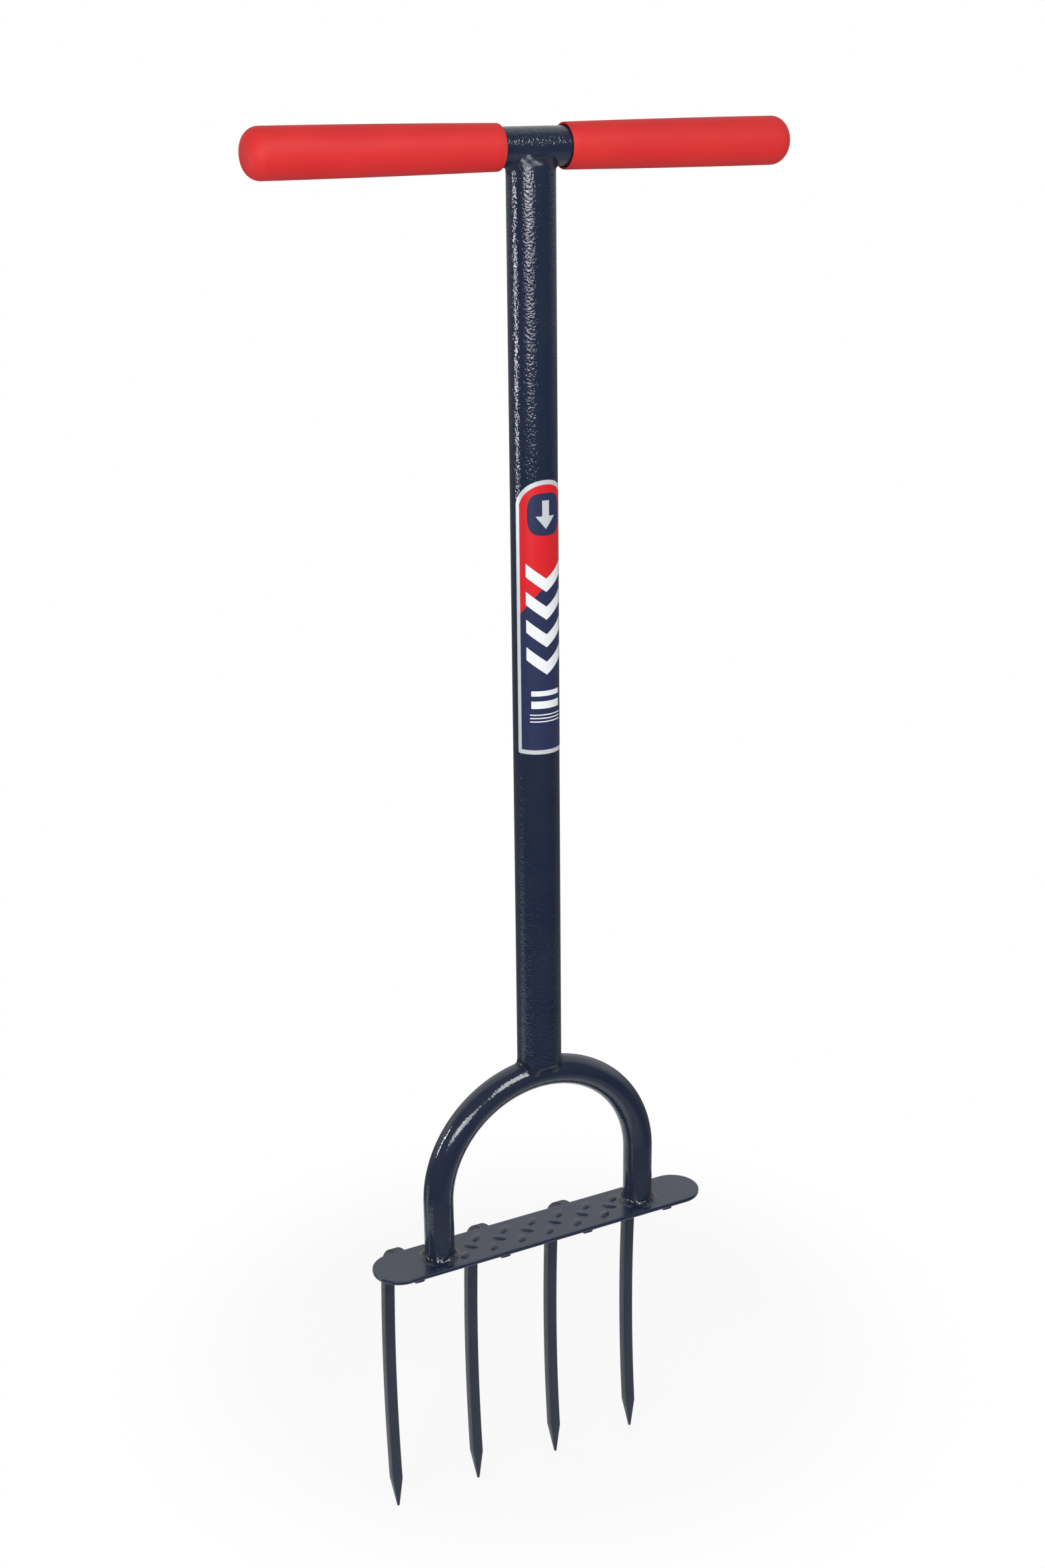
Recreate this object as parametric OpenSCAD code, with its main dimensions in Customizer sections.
// Lawn aerator fork: a tubular T handle on a bowed foot bar that drives four bent tines.
// Millimetres. +Z is up, +X runs along the handle and +Y is the side the tines bend out to.
// The origin is on the shaft's axis, level with the tips of the tines.

/* [Handle] */
// Height of the cross tube's axis above the tine tips
handle_h = 1012; // [850:1:1200]
// Outer diameter of the cross tube
cross_od = 25; // [20:0.5:30]
// Wall of the cross tube
cross_wall = 1.5; // [1:0.1:3]

/* [Grips] */
// Length of each grip
grip_len = 169; // [110:1:220]
// Space between the inner ends of the two grips
grip_gap = 47; // [42:1:80]
// Wall of a grip at its mouth, next to the shaft
grip_wall = 2; // [2:0.1:4]
// How much larger a grip's radius is at its fullest, near its outer end, than at its mouth
grip_swell = 1.1; // [0:0.1:3]
// Radius of the rounded shoulder at a grip's outer end
grip_end_r = 10.5; // [4:0.5:12]
// Thickness of the closed outer end of a grip
grip_cap = 4; // [2:0.5:10]
// Radial clearance between a grip's bore and the cross tube
grip_clear = 0.1; // [0:0.05:0.3]
// Chamfer at the mouth of a grip's bore
mouth_chamfer = 1.5; // [0.2:0.1:1.6]

/* [Shaft] */
// Outer diameter of the shaft tube
shaft_od = 32; // [28:0.5:39]
// Wall of the shaft tube
shaft_wall = 1.5; // [1:0.1:3]

/* [Bow] */
// Outer diameter of the bow tube
bow_od = 22; // [18:0.5:26]
// Wall of the bow tube
bow_wall = 2; // [1:0.1:3]
// Radius of the bow's centre line, which is half the distance between its legs
bow_r = 84; // [70:1:95]
// Length of the straight legs between the bend and the foot plate
bow_leg = 44; // [30:1:80]

/* [Foot plate] */
// Height of the tread surface above the tine tips
plate_h = 240.5; // [200:0.5:320]
// Overall length of the foot plate, over its round ends
plate_len = 272; // [260:1:330]
// Width of the foot plate
plate_w = 40; // [36:1:50]
// Thickness of the foot plate
plate_t = 3; // [2:0.5:6]

/* [Tread] */
// Number of bump groups in the tread
tread_groups = 6; // [2:1:6]
// Distance from one bump group to the next
tread_pitch = 23.5; // [20:0.5:24]
// Distance along X and along Y from a group's middle bump to each outer one
tread_step = 8.7; // [7:0.1:9]
// Length of a bump
bump_len = 11.5; // [6:0.5:12]
// Width of a bump
bump_w = 6; // [3:0.5:6.5]
// Height of a bump
bump_h = 1.5; // [0.5:0.1:2]

/* [Tines] */
// Distance from one tine to the next
tine_pitch = 70; // [55:1:74]
// Side of the square bar
tine_bar = 8; // [6:0.5:10]
// How far a tine's top arm stops behind the plate's front edge
tine_inset = 8; // [2:0.5:14]
// Distance from the plate's middle line back to where the shoulder bend starts
shoulder_y = 20.3; // [14:0.1:26]
// Centre line radius of the shoulder bend
shoulder_r = 27.5; // [16:0.5:32]
// Angle by which the leg still leans outwards where the shoulder bend ends
leg_lean = 4.4; // [2:0.5:6]
// Centre line radius of the long bow of the leg
leg_r = 1100; // [800:10:2000]
// Length of the point
point_len = 24; // [12:1:40]
// Side of the blunt end of the point
point_flat = 1.5; // [0.8:0.1:3]

/* [Welds] */
// Leg length of the fillets around the shaft's ends
shaft_fillet = 3.5; // [2:0.5:5]
// How far below the cross tube's axis the shaft's cut end stands
cope_top = 7; // [5:0.5:9]
// How far above the bow's centre line the shaft's cut end stands
cope_low = 6.5; // [4:0.5:8]
// Leg length of the fillets where the bow stands on the plate
leg_fillet = 4.5; // [2:0.5:6]
// Leg length of the fillets beside each tine's top arm
tine_fillet = 3.5; // [2:0.5:5]
// How far those fillets run on past the plate's back edge
weld_run_out = 1.5; // [0:0.5:3]

/* [Label] */
// Height of the label's lower edge above the tine tips
label_h = 616; // [450:1:700]
// Height of the label at the crown of its arched top
label_len = 188; // [100:1:230]
// Width of the label, measured around the shaft
label_w = 43; // [30:0.5:43]
// Radius of the label's arched top
label_arch_r = 22.4; // [21.6:0.1:60]
// Thickness of the label film
label_t = 0.2; // [0.1:0.05:0.4]

/* [Hidden] */
TINES = ["left_outer_tine", "left_inner_tine", "right_inner_tine", "right_outer_tine"];
TINE_WELDS = ["left_outer_tine_weld", "left_inner_tine_weld",
              "right_inner_tine_weld", "right_outer_tine_weld"];
$fn = 96;
// Overrun of a cutter past the face that it cuts
over = 1;

// Paint, grip and label colours
navy = "#2b3446";
slate = "#4d525e";
tine_grey = "#3f434f";
grip_red = "#db3c3c";
label_silver = "#b9bcc2";

// Radii
cross_r = cross_od / 2;
shaft_r = shaft_od / 2;
shaft_bore_r = shaft_r - shaft_wall;
bow_tube_r = bow_od / 2;
grip_bore_r = cross_r + grip_clear;

// Half lengths along the handle
grip_in = grip_gap / 2;
grip_out = grip_in + grip_len;
cross_half = grip_out - grip_cap;

// Heights
plate_under = plate_h - plate_t;
bend_h = plate_h + bow_leg;
crown_h = bend_h + bow_r;
shaft_low = crown_h + cope_low;
shaft_high = handle_h - cope_top;

// Shaft welds: how far the toe runs on below the tube, and how deep the root reaches inside
toe_drop = 1.5;
root_depth = 4;

// Tines: the arm's front end, the centres of the two bends and the angles of the leg
arm_front = tine_inset - plate_w / 2;
shoulder_h = plate_under - tine_bar / 2 - shoulder_r;
leg_centre_y = shoulder_y - (leg_r - shoulder_r) * cos(leg_lean);
leg_centre_h = shoulder_h - (leg_r - shoulder_r) * sin(leg_lean);
// The leg bows on until the back corner of its blunt end stands at z = 0
tip_lean = asin(leg_centre_h / (leg_r + point_flat / 2));
point_turn = point_len / leg_r * 180 / PI;
// The arm's fillets run just past the plate's back edge, or stop where the shoulder bend starts
weld_back = min(shoulder_y, plate_w / 2 + weld_run_out);
shoulder_steps = 16;
leg_steps = 20;
arch_steps = 24;

// Edge of the bar in the YZ plane, above its centre line (way = 1) or below it (way = -1)
function on_arc(y, z, r, a) = [y + r * cos(a), z + r * sin(a)];
function bar_edge(way) = concat(
    [[arm_front, plate_under - tine_bar / 2 + way * tine_bar / 2]],
    [for (i = [0 : shoulder_steps])
        on_arc(shoulder_y, shoulder_h, shoulder_r + way * tine_bar / 2,
               90 - (90 - leg_lean) * i / shoulder_steps)],
    [for (i = [1 : leg_steps])
        on_arc(leg_centre_y, leg_centre_h, leg_r + way * tine_bar / 2,
               leg_lean - (leg_lean + tip_lean - point_turn) * i / leg_steps)],
    [on_arc(leg_centre_y, leg_centre_h, leg_r + way * point_flat / 2, -tip_lean)]);
function backwards(list) = [for (i = [len(list) - 1 : -1 : 0]) list[i]];
bar_outline = concat(bar_edge(1), backwards(bar_edge(-1)));

// Half section of a grip as [radius, distance u outwards from the mouth along the handle]
grip_steps = 14;
end_steps = 8;
mouth_r = grip_bore_r + grip_wall;
full_r = mouth_r + grip_swell;
barrel_len = grip_len - grip_end_r;
function barrel_r(u) = full_r - (full_r - mouth_r) * pow(1 - u / barrel_len, 2);
grip_barrel = [for (i = [0 : grip_steps])
    let (u = barrel_len * i / grip_steps) [barrel_r(u), u]];
grip_round = [for (i = [1 : end_steps])
    let (a = 90 * i / end_steps)
        [full_r - grip_end_r * (1 - cos(a)), barrel_len + grip_end_r * sin(a)]];
grip_bore = [[0, grip_len], [0, grip_len - grip_cap], [grip_bore_r, grip_len - grip_cap],
             [grip_bore_r, mouth_chamfer], [grip_bore_r + mouth_chamfer, 0]];

// A straight round rod along X, centred on the cross tube's axis
module handle_rod(r, half) {
    translate([-half, 0, handle_h])
        rotate([0, 90, 0])
            cylinder(r = r, h = 2 * half);
}

// The bow's centre line swept with a solid circle, with legs that may run on below the tread
module bow_rod(r, below = 0) {
    translate([0, 0, bend_h])
        rotate([90, 0, 0])
            rotate_extrude(angle = 180)
                translate([bow_r, 0])
                    circle(r = r);
    for (side = [-1, 1])
        translate([side * bow_r, 0, plate_h - below])
            cylinder(r = r, h = bow_leg + below);
}

module shaft_tube() {
    color(navy)
        difference() {
            translate([0, 0, shaft_low])
                cylinder(r = shaft_r, h = shaft_high - shaft_low);
            translate([0, 0, shaft_low - over])
                cylinder(r = shaft_bore_r, h = shaft_high - shaft_low + 2 * over);
            handle_rod(cross_r, 2 * shaft_r);
            bow_rod(bow_tube_r);
        }
}

module cross_tube() {
    color(navy)
        difference() {
            handle_rod(cross_r, cross_half);
            handle_rod(cross_r - cross_wall, cross_half + over);
        }
}

module grip(side) {
    color(grip_red)
        translate([side * grip_in, 0, handle_h])
            rotate([0, side * 90, 0])
                rotate_extrude()
                    polygon(concat(grip_barrel, grip_round, grip_bore));
}

module left_grip() {
    grip(-1);
}

module right_grip() {
    grip(1);
}

module bow_tube() {
    color(navy)
        difference() {
            bow_rod(bow_tube_r);
            bow_rod(bow_tube_r - bow_wall, over);
        }
}

// A pointed oval, its length along X, as two overlapping circles
module bump_outline() {
    arc_r = (bump_len * bump_len + bump_w * bump_w) / (4 * bump_w);
    intersection() {
        translate([0, arc_r - bump_w / 2])
            circle(r = arc_r);
        translate([0, bump_w / 2 - arc_r])
            circle(r = arc_r);
    }
}

// One group of the tread: a middle bump across two that lie on the diagonal
module bump_group() {
    rotate([0, 0, -45])
        bump_outline();
    for (side = [-1, 1])
        translate([side * tread_step, side * tread_step])
            rotate([0, 0, 45])
                bump_outline();
}

// All of the tread's groups, ground off where the bow's legs and their welds stand
module tread_outline() {
    difference() {
        for (i = [0 : tread_groups - 1])
            translate([(i - (tread_groups - 1) / 2) * tread_pitch, 0])
                bump_group();
        for (side = [-1, 1])
            translate([side * bow_r, 0])
                circle(r = bow_tube_r + leg_fillet);
    }
}

module foot_plate() {
    end_x = (plate_len - plate_w) / 2;
    color(slate) {
        translate([0, 0, plate_under])
            linear_extrude(plate_t) {
                square([2 * end_x, plate_w], center = true);
                for (side = [-1, 1])
                    translate([side * end_x, 0])
                        circle(d = plate_w);
            }
        translate([0, 0, plate_h])
            linear_extrude(bump_h)
                tread_outline();
    }
}

// A square bar: its bends seen from the side, cut by the flanks of the point seen from behind
module tine(index) {
    half = tine_bar / 2;
    flank_h = point_len * cos(tip_lean);
    toe_half = point_flat / 2 - (half - point_flat / 2) / flank_h * over;
    translate([(index - (len(TINES) - 1) / 2) * tine_pitch, 0, 0])
        color(tine_grey)
            intersection() {
                rotate([90, 0, 90])
                    linear_extrude(tine_bar, center = true)
                        polygon(bar_outline);
                rotate([90, 0, 0])
                    linear_extrude(4 * plate_w, center = true)
                        polygon([[-toe_half, -over], [toe_half, -over], [half, flank_h],
                                 [half, plate_h], [-half, plate_h], [-half, flank_h]]);
            }
}

// Fillet around one end of the shaft where it sits across a tube of radius r, with its root
// inside the gap between the two. It hangs below that tube's axis, which lies along X at z = 0.
module saddle_fillet(r, cope) {
    toe = r + shaft_fillet + toe_drop;
    outer = shaft_r + shaft_fillet;
    root = shaft_bore_r - root_depth;
    gap_top = cope / 2;
    roof = sqrt(r * r - gap_top * gap_top);
    intersection() {
        rotate_extrude()
            polygon([[root, -toe], [shaft_r, -toe], [outer, -r], [outer, -gap_top], [root, -gap_top]]);
        rotate([90, 0, 90])
            linear_extrude(2 * outer, center = true)
                polygon([[-outer, -toe - over], [outer, -toe - over], [shaft_r + over, -r],
                         [roof, -gap_top], [-roof, -gap_top], [-shaft_r - over, -r]]);
    }
}

module cross_tube_weld() {
    color(navy)
        difference() {
            translate([0, 0, handle_h])
                saddle_fillet(cross_r, cope_top);
            handle_rod(cross_r, 2 * shaft_r);
            translate([0, 0, shaft_low])
                cylinder(r = shaft_r, h = shaft_high - shaft_low);
        }
}

module bow_crown_weld() {
    color(navy)
        difference() {
            translate([0, 0, crown_h])
                mirror([0, 0, 1])
                    saddle_fillet(bow_tube_r, cope_low);
            bow_rod(bow_tube_r);
            translate([0, 0, shaft_low])
                cylinder(r = shaft_r, h = shaft_high - shaft_low);
        }
}

module leg_weld(side) {
    color(navy)
        translate([side * bow_r, 0, plate_h])
            rotate_extrude()
                polygon([[bow_tube_r, 0], [bow_tube_r + leg_fillet, 0], [bow_tube_r, leg_fillet]]);
}

module left_leg_weld() {
    leg_weld(-1);
}

module right_leg_weld() {
    leg_weld(1);
}

// Two fillets, one along each side of a tine's top arm, under the plate
module tine_weld(index) {
    translate([(index - (len(TINES) - 1) / 2) * tine_pitch, 0, plate_under])
        color(tine_grey)
            for (side = [0, 1])
                mirror([side, 0, 0])
                    translate([tine_bar / 2, weld_back, 0])
                        rotate([90, 0, 0])
                            linear_extrude(weld_back - arm_front)
                                polygon([[0, 0], [tine_fillet, 0], [0, -tine_fillet]]);
}

// Film around the front of the shaft, whose arch is drawn flat and then seen from the front
module shaft_label() {
    turn = 180 / PI / shaft_r;
    crown = label_h + label_len;
    arch = [for (i = [0 : arch_steps])
        let (u = label_w * (i / arch_steps - 0.5))
            [shaft_r * sin(u * turn), crown - label_arch_r + sqrt(pow(label_arch_r, 2) - u * u)]];
    beyond = shaft_od;
    color(label_silver)
        difference() {
            translate([0, 0, label_h])
                rotate_extrude(angle = label_w * turn, start = -90 - label_w * turn / 2)
                    translate([shaft_r, 0])
                        square([label_t, label_len]);
            rotate([90, 0, 0])
                linear_extrude(beyond)
                    polygon(concat(arch, [[beyond, arch[arch_steps].y], [beyond, crown + over],
                                          [-beyond, crown + over], [-beyond, arch[0].y]]));
        }
}

shaft_tube();
cross_tube();
left_grip();
right_grip();
bow_tube();
foot_plate();
for (i = [0 : len(TINES) - 1]) tine(i);
cross_tube_weld();
bow_crown_weld();
left_leg_weld();
right_leg_weld();
for (i = [0 : len(TINES) - 1]) tine_weld(i);
shaft_label();
